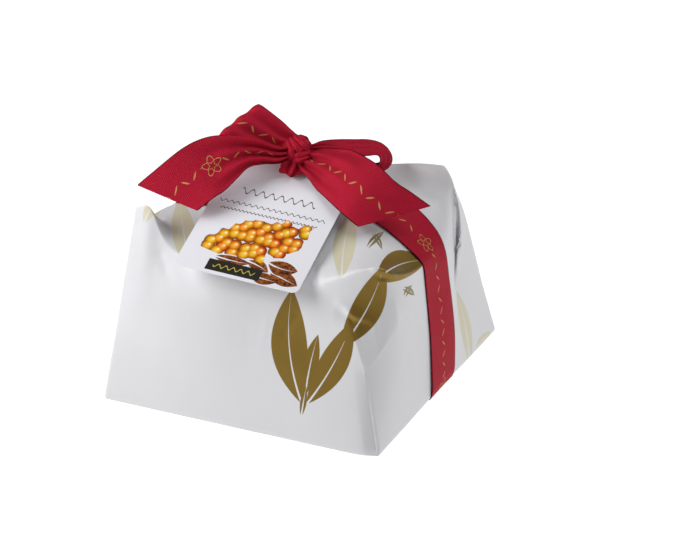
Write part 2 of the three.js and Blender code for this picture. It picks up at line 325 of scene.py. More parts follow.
# The sides of the net. The print faces one way on the first three, and the other way on the rest.
FRONT, RIGHT, TOP, BACK, LEFT, BASE = range(6)


def net_point(column, row, level):
    """Where a point of the net lies, in millimetres."""
    key = (column, row, level)
    if key in SHAPED:
        return Vector(SHAPED[key])
    inner_column = 0 < column < LAST_COLUMN
    inner_row = 0 < row < LAST_ROW
    if inner_column and inner_row:
        if level == 0:
            return Vector((BASE_X[column], BASE_Y[row], UNDERSIDE))
        y, heights = TOP_ROWS[row - 1]
        return Vector((TOP_X[column - 1], y, heights[column - 1]))
    foot = Vector((BASE_X[column], BASE_Y[row], 0))
    if row in (0, LAST_ROW):
        rim = Vector((FRONT_RIM if row == 0 else BACK_RIM)[column])
    else:
        rim = Vector((LEFT_RIM if column == 0 else RIGHT_RIM)[row])
    place = foot.lerp(rim, LEVEL_SHARES[level])
    if row in BULGES:
        middle, half_width, depths = BULGES[row]
        place.y += depths[level] * max(0, 1 - ((place.x - middle) / half_width) ** 2)
    return place


def net_sides():
    """Each side's faces as loops of four net keys, anticlockwise seen from outside."""
    sides = []
    for a in range(LAST_COLUMN):
        for k in range(RIM):
            sides.append((FRONT, [(a, 0, k), (a + 1, 0, k), (a + 1, 0, k + 1), (a, 0, k + 1)]))
            sides.append((BACK, [(a + 1, LAST_ROW, k), (a, LAST_ROW, k),
                                 (a, LAST_ROW, k + 1), (a + 1, LAST_ROW, k + 1)]))
    for b in range(LAST_ROW):
        for k in range(RIM):
            sides.append((RIGHT, [(LAST_COLUMN, b, k), (LAST_COLUMN, b + 1, k),
                                  (LAST_COLUMN, b + 1, k + 1), (LAST_COLUMN, b, k + 1)]))
            sides.append((LEFT, [(0, b + 1, k), (0, b, k), (0, b, k + 1), (0, b + 1, k + 1)]))
    for a in range(LAST_COLUMN):
        for b in range(LAST_ROW):
            sides.append((TOP, [(a, b, RIM), (a + 1, b, RIM), (a + 1, b + 1, RIM), (a, b + 1, RIM)]))
            sides.append((BASE, [(a, b + 1, 0), (a + 1, b + 1, 0), (a + 1, b, 0), (a, b, 0)]))
    return sides


def wrapper_net():
    """The coarse sheet, with its folds as creased edges."""
    shape = bmesh.new()
    crease = shape.edges.layers.float.new("crease_edge")
    tip = shape.verts.layers.float.new("crease_vert")
    corners = {}

    def corner(key):
        if key not in corners:
            corners[key] = shape.verts.new(net_point(*key) * MM)
        return corners[key]

    for side, keys in net_sides():
        face = shape.faces.new([corner(key) for key in keys])
        face.material_index = side
    shape.edges.ensure_lookup_table()
    for keys, sharpness in FOLDS:
        for start, end in zip(keys, keys[1:]):
            edge = shape.edges.get((corners[start], corners[end]))
            edge[crease] = max(edge[crease], sharpness)
    for key in TIPS:
        corners[key][tip] = TIP_SHARPNESS
    mesh = bpy.data.meshes.new("wrapper_sheet")
    shape.to_mesh(mesh)
    shape.free()
    # an empty material slot for each side, so that the subdivided faces still know theirs
    for _ in range(BASE + 1):
        mesh.materials.append(None)
    return add_object("wrapper_sheet", mesh)


# Small creases pressed into the sheet: start, end, depth at both, and how wide the slope is on
# the crease's left and on its right, in millimetres. A positive depth is a valley.
CREASES = (
    # the crushed front corner
    ((78, -91, 97), (92, -97, 84), (2.2, 0.6), (3, 12)),
    ((80, -91, 96), (93, -89, 92), (-1.6, -0.5), (8, 3)),
    ((98, -88, 91), (104, -90, 74), (-0.9, -0.6), (2, 5)),
    ((70, -90, 103), (78, -91, 97), (-0.8, -1.8), (6, 4)),
    ((99, -103, 57), (113, -116.5, 6), (1.4, 2.6), (3, 10)),
    ((86, -74, 132), (99, -64, 127), (2.6, 1.2), (6, 6)),
    ((90, -80, 132), (106, -66, 121), (-1.6, -1.0), (4, 4)),
    ((96, -72, 121), (101, -60, 117), (1.2, 0.6), (8, 3)),
    # the front
    ((-12, -101, 66), (-3, -97, 78), (0.6, 0.3), (2.5, 5)),
    ((-20, -104, 58), (-10, -100, 70), (-0.5, -0.2), (4, 3)),
    ((2, -99, 72), (6, -107, 48), (0.6, 0.3), (3, 5)),
    ((14, -96, 82), (12, -104, 58), (-0.5, -0.3), (4, 3)),
    ((30, -98, 76), (38, -94, 90), (0.5, 0.3), (3, 6)),
    ((-80, -86, 113), (-68, -92, 96), (0.8, 0.3), (6, 6)),
    ((-60, -112, 34), (-20, -108, 44), (0.3, 0.2), (10, 14)),
    # the top and the right end
    ((52, -84, 116), (40, -70, 121), (1.4, 0.6), (8, 4)),
    ((66, -78, 122), (58, -52, 127), (1.0, 0.5), (4, 9)),
    ((60, 30, 134), (88, 40, 140), (1.2, 0.6), (9, 9)),
    ((20, 36, 150), (44, 52, 153), (1.0, 0.6), (7, 7)),
    ((96, 44, 140), (97, 38, 122), (0.8, 0.4), (5, 5)),
    ((103, 58, 142), (105.8, 54, 100), (2.0, 2.8), (1.2, 8)),
    ((-95, -60, 131), (-78, -72, 124), (1.5, 0.8), (6, 6)),
    ((-40, 35, 146), (-60, 50, 143), (1.4, 0.8), (7, 7)),
    # the back and the left end
    ((-30, 112, 34), (-20, 92, 92), (1.2, 0.8), (7, 3)),
    ((50, 108, 46), (44, 88, 108), (1.0, 0.8), (3, 7)),
    ((-111, -30, 50), (-109, -60, 96), (1.2, 0.8), (7, 4)),
    ((-111, 40, 54), (-109, 62, 90), (1.2, 0.8), (4, 7)),
)
SLOPE = 1.2               # how a crease's slope flattens away from it: 1 would be straight
# The sheet's waves between its folds, in millimetres: length, height, and where they start.
WAVES = ((34, 0.30, (0, 0, 0)), (8, 0.08, (7, 3, 1)))
PRESSED_FLAT = 6          # below this height the waves and creases fade, so that the foot is flat


def pressed(points, normals, settings):
    """The fine sheet's points moved along their normals by its creases and soft waves."""
    moved = np.zeros(len(points))
    for start, end, depths, (left, right) in CREASES:
        a = np.array(start, float)
        along = np.array(end, float) - a
        share = np.clip((points - a) @ along / (along @ along), 0, 1)
        off = points - (a + share[:, None] * along)
        on_left = (off * np.cross(normals, along)).sum(axis=1) > 0
        depth = depths[0] + share * (depths[1] - depths[0])
        away = np.clip(1 - np.linalg.norm(off, axis=1) / np.where(on_left, left, right), 0, 1)
        moved -= settings.crease_depth * depth * away ** SLOPE
    for i, p in enumerate(points):
        moved[i] += sum(height * noise.noise(Vector(p) / length + Vector(start))
                        for length, height, start in WAVES)
    above_floor = np.clip(points[:, 2] / PRESSED_FLAT, 0, 1)
    return points + normals * (moved * above_floor)[:, None]


# The print is laid on as if it lay flat on a plane that faces the camera: across and up on that
# plane, as unit vectors, and its middle in millimetres. It stretches where the paper turns away.
PRINT_ACROSS = np.array((0.908, 0.419, 0.0))
PRINT_UP = np.array((-0.168, 0.364, 0.916))
PRINT_MIDDLE = np.array((0.0, 0.0, 80.0))


def lay_print(mesh):
    """The sheet's print coordinates, in metres. The hidden sides get the same print turned round."""
    points = read(mesh.vertices, "co", 3)[read(mesh.loops, "vertex_index", kind=np.int32)]
    sides = read(mesh.polygons, "material_index", kind=np.int32)
    turned = np.repeat(sides, read(mesh.polygons, "loop_total", kind=np.int32)) >= BACK
    points[turned, :2] *= -1
    points -= PRINT_MIDDLE * MM
    uv = np.stack((points @ PRINT_ACROSS, points @ PRINT_UP), axis=1)
    layer = mesh.uv_layers.new(name="print")
    layer.data.foreach_set("uv", uv.astype(np.float32).ravel())


def make_wrapper(settings):
    """The folded, creased and printed sheet."""
    piece = wrapper_net()
    add_modifier(piece, "SUBSURF", levels=settings.fineness, render_levels=settings.fineness)
    apply_modifiers(piece)
    mesh = piece.data
    moved = pressed(read(mesh.vertices, "co", 3) / MM, read(mesh.vertices, "normal", 3), settings)
    mesh.vertices.foreach_set("co", (moved * MM).ravel())
    mesh.update()
    lay_print(mesh)
    finish_piece(piece, coated_paper(settings), ["wrapper"])


# ---------------------------------------------------------------- wrapping sheet: finish

RIB_HALF = 0.9            # half the width of a printed leaf's midrib at its base, in millimetres


def leaf_group():
    """A printed leaf: 1 inside its outline, and 1 on its midrib."""
    tree = bpy.data.node_groups.new("Leaf", "ShaderNodeTree")
    for name, kind in (("Place", "Vector"), ("Base", "Vector"), ("Tip", "Vector"),
                       ("Width", "Float"), ("Bend", "Float")):
        tree.interface.new_socket(name, in_out="INPUT", socket_type=f"NodeSocket{kind}")
    for name in ("Leaf", "Rib"):
        tree.interface.new_socket(name, in_out="OUTPUT", socket_type="NodeSocketFloat")
    given = node(tree, "NodeGroupInput").outputs
    from_base = node(tree, "ShaderNodeVectorMath", {0: given["Place"], 1: given["Base"]},
                     operation="SUBTRACT").outputs[0]
    axis = node(tree, "ShaderNodeVectorMath", {0: given["Tip"], 1: given["Base"]},
                operation="SUBTRACT").outputs[0]
    length = node(tree, "ShaderNodeVectorMath", {0: axis}, operation="LENGTH").outputs["Value"]
    unit = node(tree, "ShaderNodeVectorMath", {0: axis}, operation="NORMALIZE").outputs[0]
    sideways = node(tree, "ShaderNodeVectorMath", {0: (0, 0, 1), 1: unit},
                    operation="CROSS_PRODUCT").outputs[0]
    reach = node(tree, "ShaderNodeVectorMath", {0: from_base, 1: unit},
                 operation="DOT_PRODUCT").outputs["Value"]
    aside = node(tree, "ShaderNodeVectorMath", {0: from_base, 1: sideways},
                 operation="DOT_PRODUCT").outputs["Value"]
    share = node(tree, "ShaderNodeMath", {0: reach, 1: length},
                 operation="DIVIDE", use_clamp=True).outputs[0]
    left = node(tree, "ShaderNodeMath", {0: 1.0, 1: share}, operation="SUBTRACT").outputs[0]
    both = node(tree, "ShaderNodeMath", {0: share, 1: left}, operation="MULTIPLY").outputs[0]
    # the hump is 0 at both ends of the leaf and 1 in its middle
    hump = node(tree, "ShaderNodeMath", {0: both, 1: 4.0}, operation="MULTIPLY").outputs[0]
    bow = node(tree, "ShaderNodeMath", {0: hump, 1: given["Bend"]}, operation="MULTIPLY").outputs[0]
    off = apart(tree, aside, bow)
    half = node(tree, "ShaderNodeMath", {0: given["Width"], 1: 0.5}, operation="MULTIPLY").outputs[0]
    edge = node(tree, "ShaderNodeMath", {0: hump, 1: half}, operation="MULTIPLY").outputs[0]
    inside = node(tree, "ShaderNodeMath", {0: edge, 1: off}, operation="SUBTRACT").outputs[0]
    leaf = node(tree, "ShaderNodeMapRange", {0: inside, 1: -0.1 * MM, 2: 0.3 * MM}).outputs[0]
    rib_half = node(tree, "ShaderNodeMath", {0: left, 1: RIB_HALF * MM}, operation="MULTIPLY").outputs[0]
    near_rib = node(tree, "ShaderNodeMath", {0: rib_half, 1: off}, operation="SUBTRACT").outputs[0]
    rib = node(tree, "ShaderNodeMapRange", {0: near_rib, 1: -0.1 * MM, 2: 0.25 * MM}).outputs[0]
    node(tree, "NodeGroupOutput", {"Leaf": leaf, "Rib": rib})
    return tree


# Printed leaves in the print's own millimetres: base, tip, width and bend.
GOLD_LEAVES = (
    ((-1, -98), (-8, -12), 27, 6),
    ((1, -92), (11, -46), 12, 1),
    ((2, -98), (36, -36), 21, -3),
    ((27, -56), (59, 5), 22, -4),
    ((52, -8), (92, 8), 22, 5),
    ((-2, -108), (2, -84), 5, 0),
)
PALE_LEAVES = (
    ((28, -6), (36, 46), 17, 2),
    ((-88, 2), (-101, 58), 17, -2),
    ((-122, 36), (-112, 58), 9, 0),
    ((131, -76), (117.5, -14), 10, -2),
    ((136, -62), (150, -48), 8, 0),
)
SMALL_LEAVES = (
    ((46, 16), (60, 30), 5, 1),
    ((50, 30), (58, 16), 4, 1),
    ((62, -4), (74, 2), 4, 1),
    ((72, -12), (82, -18), 5, 1),
    ((74, -20), (80, -10), 4, 1),
    ((8, 50), (16, 58), 5, 1),
)


def printed(tree, place, leaves):
    """The leaves of one ink: 1 where the ink is, with the ribs left out."""
    group = bpy.data.node_groups.get("Leaf") or leaf_group()
    inks = []
    for base, tip, width, bend in leaves:
        leaf = node(tree, "ShaderNodeGroup", node_tree=group)
        feed(tree, leaf, {"Place": place, "Base": Vector((*base, 0)) * MM, "Tip": Vector((*tip, 0)) * MM,
                          "Width": width * MM, "Bend": bend * MM})
        inks.append(node(tree, "ShaderNodeMath", {0: leaf.outputs["Leaf"], 1: leaf.outputs["Rib"]},
                         operation="SUBTRACT", use_clamp=True).outputs[0])
    return joined(tree, inks)


FIBRE = 0.6 * MM          # fibres are about 0.05 mm wide, and they are drawn wider so that they show


def coated_paper(settings):
    """Coated art paper with metallic ink: smooth, a soft sheen, fibres just felt in the light."""
    material, tree, shader = new_material("coated_wrapping_paper")
    place = node(tree, "ShaderNodeUVMap", uv_map="print").outputs[0]
    solid_place = node(tree, "ShaderNodeTexCoord").outputs["Object"]
    gold, pale, small = (printed(tree, place, leaves) for leaves in (GOLD_LEAVES, PALE_LEAVES, SMALL_LEAVES))
    mottle = node(tree, "ShaderNodeTexNoise",
                  {"Vector": solid_place, "Scale": 22.0, "Detail": 3.0}).outputs[0]
    tint = node(tree, "ShaderNodeMapRange", {0: mottle, 1: 0.3, 2: 0.7, 3: 0.97, 4: 1.0}).outputs[0]
    bare = node(tree, "ShaderNodeMix", {0: 1.0, 6: (*settings.paper_colour, 1), 7: tint},
                data_type="RGBA", blend_type="MULTIPLY").outputs[2]
    colour = inked(tree, bare, (
        (pale, (*settings.pale_colour, 1)), (gold, (*settings.gold_colour, 1)),
        (small, (*settings.olive_colour, 1))))
    metal = node(tree, "ShaderNodeMath", {0: joined(tree, (gold, small)), 1: 0.55},
                 operation="MULTIPLY").outputs[0]
    fibre = node(tree, "ShaderNodeTexNoise", {"Vector": solid_place, "Scale": 1 / FIBRE, "Detail": 2.0})
    bump = node(tree, "ShaderNodeBump", {"Strength": 0.05, "Distance": 0.1 * MM, "Height": fibre.outputs[0]})
    rough = node(tree, "ShaderNodeMapRange", {0: mottle, 1: 0.3, 2: 0.7, 3: 0.36, 4: 0.44}).outputs[0]
    feed(tree, shader, {"Base Color": colour, "Metallic": metal, "Roughness": rough,
                        "IOR": 1.5, "Normal": bump.outputs[0]})
    return material


# ---------------------------------------------------------------- ribbon: shape

ACROSS = 25               # points across a ribbon
STEP = 1.6                # millimetres between points along it
DENSE = 240               # points along its smoothed middle line
PLEAT_SHARE = 0.30        # how much of the width that gathering takes stands up in pleats
PLEAT_SHIFT = 0.35        # moves the pleats off the middle, so that the two halves differ


def smooth_route(stations, count):
    """Points along a Catmull-Rom curve through the stations' values, one row for each point."""
    values = np.array([np.concatenate([np.ravel(part) for part in s]) for s in stations], float)
    padded = np.vstack((2 * values[0] - values[1], values, 2 * values[-1] - values[-2]))
    rows = []
    for t in np.linspace(0, len(values) - 1, count):
        i = min(int(t), len(values) - 2)
        f = t - i
        a, b, c, d = padded[i:i + 4]
        rows.append(0.5 * (2 * b + (c - a) * f + (2 * a - 5 * b + 4 * c - d) * f ** 2
                           + (3 * b - a - 3 * c + d) * f ** 3))
    return np.array(rows)


def ribbon_sheet(name, stations, settings, slant=0, pleats=3, start_along=0):
    """A length of ribbon through stations, each (middle, half, bow).

    half reaches from the middle to the upper edge, and is short where the ribbon is gathered;
    the width it has lost then stands up in pleats. bow lifts the middle of the width. slant is
    how much longer the upper edge is than the middle, where the end is cut at an angle.
    """
    dense = smooth_route(stations, DENSE)
    middle = dense[:, 0:3]
    half = dense[:, 3:6]
    bow = dense[:, 6]
    along = np.concatenate(([0], np.cumsum(np.linalg.norm(np.diff(middle, axis=0), axis=1))))
    tangent = np.gradient(middle, axis=0)
    facing = np.cross(tangent, half)
    facing /= np.linalg.norm(facing, axis=1)[:, None]
    full = settings.width / MM / 2
    reach = np.linalg.norm(half, axis=1)
    pleat = PLEAT_SHARE * np.sqrt(np.maximum(full ** 2 - reach ** 2, 0)) / pleats
    length = along[-1] - abs(slant)
    rows = int(length / STEP) + 2
    points = []
    uv = []
    for row in np.linspace(0, 1, rows):
        for side in np.linspace(-1, 1, ACROSS):
            v = row * (length + slant * side)
            at, out, up = (np.array([np.interp(v, along, values[:, i]) for i in range(3)])
                           for values in (middle, half, facing))
            fold = np.interp(v, along, pleat) * math.sin(pleats * math.pi * (side + PLEAT_SHIFT))
            lift = np.interp(v, along, bow) * (1 - side ** 2) + fold
            points.append(at + out * side + up * lift)
            uv.append((side * full * MM, (start_along + v) * MM))
    piece = ribbon_object(name, points, grid_faces(rows, ACROSS), uv)
    add_modifier(piece, "SOLIDIFY", thickness=settings.thickness, offset=0)
    add_modifier(piece, "SUBSURF", levels=1, render_levels=1)
    apply_modifiers(piece)
    return piece, along[-1]


KNOT_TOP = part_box("bow_knot")[1].z / MM
KNOT = np.array((-6, -2, KNOT_TOP - 10.5))     # middle of the knot's round part


def from_knot(offsets):
    """Stations given from the knot's middle, as stations in the frame."""
    return [(KNOT + np.array(middle), half, bow) for middle, half, bow in offsets]


# Each station: middle from the knot's middle, half reaching to the upper edge, bow.
TAIL_LEFT = (
    ((-1, -4, -4), (-1, 2, 4), 0.5),
    ((-7, -16, -4), (-1, 2, 6), 1),
    ((-17, -23, -1), (-2, 2.5, 8.5), 2),
    ((-27, -30, 0), (-3, 3, 11), 2),
    ((-36, -38, -2), (-7, 3, 15), 2),
    ((-46, -47, -7), (-11, 5, 18), 2),
    ((-56, -57, -13), (-15, 5, 16.5), 2),
    ((-74, -72, -30), (-15, 5, 16.5), 0),
    ((-83, -80, -39), (-15, 5, 16.5), 0),
)
TAIL_RIGHT = (
    ((3, -2, -7), (2, 3, 3.5), 0.5),
    ((8, -3.5, -9.5), (2, 4.5, 5.5), 1),
    ((13.5, -4, -9.5), (2.5, 7, 8.5), 1.5),
    ((21, -4.5, -10.5), (4.5, 9, 10.5), 2),
    ((30, -5.5, -13), (6, 11.5, 13.5), 2.5),
    ((39.5, -9, -14), (7, 13.5, 14.5), 3),
    ((61, -20, -18.5), (8, 15, 15.5), 2),
    ((77.3, -23.3, -27.5), (8, 15, 14.5), 0.5),
    ((88.6, -20.5, -34.7), (7.5, 16, 14), 0),
    ((103.4, -14.6, -46.4), (7.5, 16, 14), 0),
)
LOOP_LEFT = (
    ((-2.5, -0.5, 1.5), (1.5, 5, 4.5), 0.5),
    ((-13.5, -4.5, 2), (4, 9, 10), 1),
    ((-28, -9, 9), (8.5, 12, 11), 0.5),
    ((-40.5, -12, 15.5), (11.5, 13.5, 11), -0.5),
    ((-46, -10.5, 15.5), (12, 14, 11.5), -1.2),
    ((-47.2, -4, 11.5), (12, 13.5, 11.5), -1.5),
    ((-41.5, 3, 6.5), (9, 13.5, 11.5), -0.5),
    ((-22, 4, 0), (4.5, 10.5, 10.5), 0.5),
    ((-4, 3.5, -1.5), (1.5, 4, 4.5), 0.5),
)
LOOP_RIGHT = (
    ((4, 1, -2), (0, 3, 1.5), 0.5),
    ((9.5, 4, -3), (-1.5, 5, 1.5), 0.5),
    ((16.5, 10, -3), (-4.5, 9, 2), 0.5),
    ((25.5, 19, -4.5), (-7, 14.5, 1), 0.5),
    ((36.5, 26, -5.5), (-8, 17, 0.5), 0),
    ((45.5, 31, -5.5), (-8, 17.5, 0), 0),
    ((52.5, 34.5, -6.5), (-6, 17, -1), 0),
    ((57, 35.5, -10), (-3.5, 17, -2.5), 0),
    ((59, 34.5, -15), (-1.5, 16.5, -4.5), 0),
    ((57, 32, -18.5), (-0.5, 14.5, -6.5), 0),
    ((51.5, 27.5, -19), (0.5, 12, -8), 0),
    ((40.5, 21.5, -16.5), (0, 9, -9.5), 0),
    ((28, 14.5, -13), (0.5, 5.5, -8), 0.5),
    ((13.5, 5, -10), (0, 2, -3.5), 0.5),
)


# Each length of the bow: its stations, how slanted its end is, where its print starts, how it is held.
BOW = {
    "bow_loop_left": (LOOP_LEFT, 0, -20, "folded"),
    "bow_loop_right": (LOOP_RIGHT, 0, -60, "folded"),
    "ribbon_tail_left": (TAIL_LEFT, 15, -6, "hung"),
    "ribbon_tail_right": (TAIL_RIGHT, 17, -62, "draped"),
}


def make_bow(settings):
    """The two loops and the two tails, all of the same ribbon."""
    for name, (offsets, slant, start, held) in BOW.items():
        piece, length = ribbon_sheet(
            f"{name}_ribbon", from_knot(offsets), settings, slant, start_along=start)
        finish_piece(piece, woven_satin(settings), [name])


# The wraps of the knot: axis, radius, half-width, pleats across, and offset from its middle.
WRAPS = (
    ((0.706, 0.547, 0.458), 7.8, 8.5, 4, (0.5, 0, -2)),
    ((-0.35, 0.25, 0.9), 6.4, 6.5, 3, (4.5, -1.5, -6)),
    ((0.9, 0.3, -0.25), 6.0, 6.0, 3, (-3.5, -1, -4)),
)
# The gathered turn that drops to the tag's hole: its middles from the knot's, and its radii.
TURN = (
    ((0, -1, -5), 6.0),
    ((-0.3, -3.5, -11), 5.4),
    ((-0.8, -6, -16), 7),
    ((-1, -7.3, -19), 6.4),
    ((-1, -7.3, -21), 3.4),
    ((-1, -7, -23.5), 1.6),
)
# The gathered ribbon that rises to the knot from the run round the parcel.
RISE = (
    ((1, 3, -5), 6.0),
    ((0.5, 6.5, -12), 5.2),
    ((0, 9, -20), 5.6),
    ((0, 10, -26), 8),
    ((0, 10.5, -29.2), 12),
    ((0, 10.5, -30.5), 15),
)
AROUND = 96               # points round every wrap and bundle of the knot
KNOT_SKIN = 1.2 * MM      # thickness of its gathered ribbon
WRAP_COLUMNS = 33
WRAP_EDGE = 3.2           # how far a wrap's edges are drawn in, in millimetres
WRAP_LUMPS = 0.9          # how uneven a wrap is, in millimetres
WRAP_GRAIN = 1.7          # how fine its unevenness is
WRAP_WANDER = 1.2         # how far its pleats wander across it, in radians
WRAP_OVAL = 0.15          # how much its width changes round the knot
PLAIN = (15, 6)           # the knot shows the ribbon beside its print: middle and half-width
BUNDLE_COLUMNS = 25
BUNDLE_PLEATS = 6
BUNDLE_TWIST = 0.12       # radians from one column to the next
BUNDLE_DEPTH = 0.42       # depth of its pleats, as a share of its radius
BUNDLE_THIN = 5           # below this radius its pleats are shallower, in millimetres
BUNDLE_WIDTH = 1.15       # a bundle is this much wider than deep


def wrap_points(axis, radius, half_width, pleats, offset):
    """One turn of gathered ribbon round an axis: rows round it, and columns across its width."""
    turn = Vector(axis).to_track_quat("Z", "Y").to_matrix()
    for a in np.linspace(0, 2 * math.pi, AROUND, endpoint=False):
        for side in np.linspace(-1, 1, WRAP_COLUMNS):
            fold = math.cos(pleats * math.pi * side + WRAP_WANDER * math.sin(a + side))
            lump = noise.noise(Vector((math.cos(a), math.sin(a), side)) * WRAP_GRAIN + Vector(offset))
            r = radius + fold * (1 - side ** 4) + WRAP_LUMPS * lump - WRAP_EDGE * side ** 4
            squeeze = half_width * (1 + WRAP_OVAL * math.cos(2 * a))
            p = turn @ Vector((r * math.cos(a), r * math.sin(a), side * squeeze))
            yield np.array(p) + KNOT + np.array(offset), (PLAIN[0] + PLAIN[1] * side, a * radius)


def bundle_points(levels):
    """Ribbon gathered into a twisted bundle under the knot: rows round it, and columns down it."""
    levels = smooth_route(levels, BUNDLE_COLUMNS)
    for a in np.linspace(0, 2 * math.pi, AROUND, endpoint=False):
        for i, (x, y, z, radius) in enumerate(levels):
            depth = BUNDLE_DEPTH * min(1, radius / BUNDLE_THIN)
            pleat = 1 + depth * math.cos(BUNDLE_PLEATS * a + BUNDLE_TWIST * i)
            x += BUNDLE_WIDTH * radius * pleat * math.cos(a)
            y += radius * pleat * math.sin(a)
            yield KNOT + np.array((x, y, z)), (PLAIN[0] + PLAIN[1] * math.cos(a), i)


def make_knot(settings):
    """The knot: gathered wraps round each other, and what runs from it to the tag and the parcel."""
    points = []
    faces = []
    for rows in (*(wrap_points(*wrap) for wrap in WRAPS), bundle_points(TURN), bundle_points(RISE)):
        first = len(points)
        points += rows
        columns = (len(points) - first) // AROUND
        faces += [tuple(first + i for i in f) for f in grid_faces(AROUND, columns, closed=True)]
    uv = [(across * MM, along * MM) for _, (across, along) in points]
    piece = ribbon_object("knot_wraps", [p for p, _ in points], faces, uv)
    add_modifier(piece, "SOLIDIFY", thickness=KNOT_SKIN, offset=-1)
    apply_modifiers(piece)
    finish_piece(piece, woven_satin(settings), ["bow_knot"])


def hit_from_outside(tree, middle, direction):
    """How far the wrapper's surface lies from a point inside it, along a direction, in millimetres."""
    reach = 300
    start = (middle + direction * reach) * MM
    place, _, _, distance = tree.ray_cast(start, -direction)
    if place is None:
        raise RuntimeError("the ribbon's ray missed the wrapper")
    return reach - distance / MM


BAND_TURNS = 360          # points round the parcel
BAND_MIDDLE = 70          # height of the middle that the band is wound round
BAND_PRINT = 67           # how far along its print is where the band starts, under the base


def make_band(settings):
    """The ribbon round the parcel: pulled over the sheet, bridging its hollows."""
    low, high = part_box("ribbon_band")
    sheet = bpy.data.objects["wrapper_sheet"].data
    tree = BVHTree.FromPolygons([v.co for v in sheet.vertices], [tuple(p.vertices) for p in sheet.polygons])
    angles = np.linspace(-0.5 * math.pi, 1.5 * math.pi, BAND_TURNS, endpoint=False)
    directions = np.stack((np.cos(angles), np.zeros(BAND_TURNS), np.sin(angles)), axis=1)
    ys = np.linspace(low.y, high.y, ACROSS) / MM
    reach = np.array([
        [hit_from_outside(tree, Vector((0, y, BAND_MIDDLE)), Vector(direction)) for y in ys]
        for direction in directions])
    # each point is brought out to its neighbours, so that the band bridges hollows, and evened out
    widest = np.max([np.roll(reach, s, axis=0) for s in (-1, 0, 1)], axis=0)
    even = np.mean([np.roll(widest, s, axis=0) for s in range(-2, 3)], axis=0)
    even = np.maximum(even, reach) + settings.thickness / MM
    points = directions[:, None, :] * even[:, :, None]
    points[:, :, 1] = ys
    points[:, :, 2] = np.maximum(points[:, :, 2] + BAND_MIDDLE, settings.thickness / MM / 2)
    line = points[:, ACROSS // 2]
    along = np.concatenate(([0], np.cumsum(np.linalg.norm(np.diff(line, axis=0), axis=1))))
    across = np.linspace(-0.5, 0.5, ACROSS) * settings.width
    uv = [(u, (v + BAND_PRINT) * MM) for v in along for u in across]
    piece = ribbon_object("ribbon_round_parcel", points.reshape(-1, 3),
                          [f[::-1] for f in grid_faces(BAND_TURNS, ACROSS, closed=True)], uv)
    add_modifier(piece, "SOLIDIFY", thickness=settings.thickness, offset=0)
    apply_modifiers(piece)
    finish_piece(piece, woven_satin(settings), ["ribbon_band"])


# ---------------------------------------------------------------- ribbon: finish

RIB_PITCH = 1.5 * MM      # ribs are nearer 0.5 mm apart, and are drawn coarser so that they show
LEAF_PITCH = 9 * MM
LEAF_HALF_LENGTH = 2.9 * MM
LEAF_HALF_WIDTH = 1.0 * MM
LEAF_LEAN = 0.9
FLOWER_PITCH = 121.5 * MM
FLOWER_LINES = ((6.2 * MM, 1.7 * MM), (2.8 * MM, -0.9 * MM))      # each: radius, and petal depth
FLOWER_ROOM = 9 * MM      # the leaves are left out this far round a flower


def woven_satin(settings):
    """Woven polyester satin: a soft sheen, a grid of threads with the shade of their relief painted in, a
    dark band along both edges and a gold vine.
    """
    found = bpy.data.materials.get("woven_satin_ribbon")
    if found:
        return found
    material, tree, shader = new_material("woven_satin_ribbon")
    cloth = node(tree, "ShaderNodeUVMap", uv_map="cloth").outputs[0]
    across, along, _ = node(tree, "ShaderNodeSeparateXYZ", {0: cloth}).outputs
    thread = node(tree, "ShaderNodeMath", {0: sine(tree, along, RIB_PITCH), 1: sine(tree, across, RIB_PITCH)},
                  operation="ADD").outputs[0]
    # painted shade: the threads are drawn lighter and darker across the weave, standing in for the light and
    # shade on their relief
    relief_shade = node(tree, "ShaderNodeMapRange", {0: thread, 1: -2.0, 2: 2.0, 3: 0.62, 4: 1.2}).outputs[0]
    edge = node(tree, "ShaderNodeMath", {0: across}, operation="ABSOLUTE").outputs[0]
    # a dark band drawn along both edges of the ribbon
    dark_edge_band = node(tree, "ShaderNodeMapRange", {
        0: edge, 1: settings.width / 2 - 0.9 * MM, 2: settings.width / 2 - 0.6 * MM}).outputs[0]
    woven = node(tree, "ShaderNodeMix", {0: 1.0, 6: (*settings.colour, 1), 7: relief_shade},
                 data_type="RGBA", blend_type="MULTIPLY").outputs[2]
    colour = inked(tree, woven, (
        (dark_edge_band, (*settings.dark_edge_colour, 1)),
        (gold_vine(tree, across, along), (*settings.print_colour, 1))))
    bump = node(tree, "ShaderNodeBump", {"Strength": 0.4, "Distance": 0.2 * MM, "Height": thread})
    feed(tree, shader, {"Base Color": colour, "Roughness": 0.5, "Metallic": 0.3,
                        "Specular IOR Level": 0.1, "Specular Tint": linear("D87884"),
                        "Normal": bump.outputs[0]})
    return material


def repeated(tree, along, pitch):
    """Which repeat a place along the ribbon is in, and how far it is from that repeat's middle."""
    count = node(tree, "ShaderNodeMath", {0: along, 1: pitch}, operation="DIVIDE").outputs[0]
    number = node(tree, "ShaderNodeMath", {0: count}, operation="FLOOR").outputs[0]
    share = node(tree, "ShaderNodeMath", {0: count, 1: number}, operation="SUBTRACT").outputs[0]
    middle = node(tree, "ShaderNodeMath", {0: share, 1: 0.5}, operation="SUBTRACT").outputs[0]
    return number, node(tree, "ShaderNodeMath", {0: middle, 1: pitch}, operation="MULTIPLY").outputs[0]


